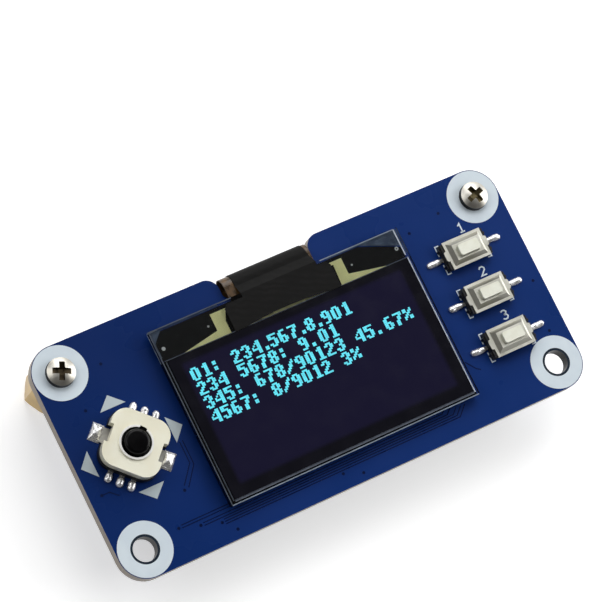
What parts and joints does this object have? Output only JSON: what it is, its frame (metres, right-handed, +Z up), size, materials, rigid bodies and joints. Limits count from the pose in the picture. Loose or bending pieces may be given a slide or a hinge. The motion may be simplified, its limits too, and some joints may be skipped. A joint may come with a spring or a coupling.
{
  "type": "small oled display module",
  "caption": "Plug-on circuit board with a monochrome display panel, a five-way joystick, push keys, a socket header underneath and screwed standoffs.",
  "frame": {"origin": "centre of the four-hole pattern, in the plane of the standoffs' feet", "axes": "+Z up, out of the display; +X along the board's long side, from the joystick to the keys; +Y across the board, towards the edge with the flex notch"},
  "size_m": [0.065, 0.03, 0.0116],
  "materials": {
    "board": "blue solder mask over glass-fibre laminate, semi-gloss",
    "ink": "pale printed ink",
    "pad": "grey adhesive foam",
    "cap_glass": "clear glass over the display's rear",
    "glass": "clear display glass with cut edges",
    "film": "dark polarising film, smooth",
    "chip": "dark silicon",
    "shield": "black film",
    "flex": "amber polyimide film",
    "solder": "bright solder",
    "tape": "black fabric-textured tape",
    "header": "black glass-filled moulding",
    "gold": "gold-flashed contacts",
    "brass": "turned brass",
    "nickel": "nickel-plated steel",
    "black_moulding": "black moulded plastic",
    "cover_metal": "pale pressed sheet metal",
    "tin": "tinned sheet metal",
    "spring_steel": "spring steel",
    "stick": "black moulded plastic, satin",
    "ceramic": "tan ceramic with tinned ends",
    "resistor": "black glazed ceramic with tinned ends",
    "key_metal": "nickel-plated pressed sheet",
    "button": "cream moulded plastic"
  },
  "bodies": {
    "module": {"circuit_board": "board", "printed_marks": "ink", "panel_pad": "pad", "cap_glass": "cap_glass", "front_glass": "glass", "polariser": "film", "driver_chip": "chip", "light_shield": "shield", "flex_tail": "flex", "flex_solder": "solder", "flex_tape": "tape", "header_body": "header", "header_contacts": "gold", "standoff_left": "brass", "standoff_right": "brass", "screw_left": "nickel", "screw_right": "nickel", "joystick_base": "black_moulding", "joystick_cover": "cover_metal", "joystick_legs": "tin", "joystick_side_leaves": "spring_steel", "joystick_centre_dome": "spring_steel", "solder_joints": "solder", "capacitors": "ceramic", "resistors": "resistor", "key_1_base": "black_moulding", "key_1_cover": "key_metal", "key_1_dome": "spring_steel", "key_1_legs": "tin", "key_2_base": "black_moulding", "key_2_cover": "key_metal", "key_2_dome": "spring_steel", "key_2_legs": "tin", "key_3_base": "black_moulding", "key_3_cover": "key_metal", "key_3_dome": "spring_steel", "key_3_legs": "tin"},
    "joystick_ring": {"joystick_ring": "black_moulding"},
    "joystick_plate": {"joystick_plate": "black_moulding"},
    "joystick_stick": {"joystick_stick": "stick"},
    "key_1": {"key_1_button": "button"},
    "key_2": {"key_2_button": "button"},
    "key_3": {"key_3_button": "button"}
  },
  "joints": [
    {"name": "joystick_up_down", "type": "hinge", "parent": "module", "child": "joystick_ring", "pos_m": [-0.025, 0.0001, 0.00985], "axis": [1, 0, 0], "range_deg": [-6, 6], "stiffness_Nm_per_rad": 0.03},
    {"name": "joystick_left_right", "type": "hinge", "parent": "joystick_ring", "child": "joystick_plate", "pos_m": [-0.025, 0.0001, 0.00985], "axis": [0, 1, 0], "range_deg": [-6, 6], "stiffness_Nm_per_rad": 0.03},
    {"name": "joystick_press", "type": "slide", "parent": "joystick_plate", "child": "joystick_stick", "axis": [0, 0, -1], "range_m": [0, 0.00025], "stiffness_N_per_m": 8000, "deforming": ["joystick_centre_dome"]},
    {"name": "key_1_press", "type": "slide", "parent": "module", "child": "key_1", "axis": [0, 0, -1], "range_m": [0, 0.00025], "stiffness_N_per_m": 6400, "deforming": ["key_1_dome"]},
    {"name": "key_2_press", "type": "slide", "parent": "module", "child": "key_2", "axis": [0, 0, -1], "range_m": [0, 0.00025], "stiffness_N_per_m": 6400, "deforming": ["key_2_dome"]},
    {"name": "key_3_press", "type": "slide", "parent": "module", "child": "key_3", "axis": [0, 0, -1], "range_m": [0, 0.00025], "stiffness_N_per_m": 6400, "deforming": ["key_3_dome"]}
  ]
}
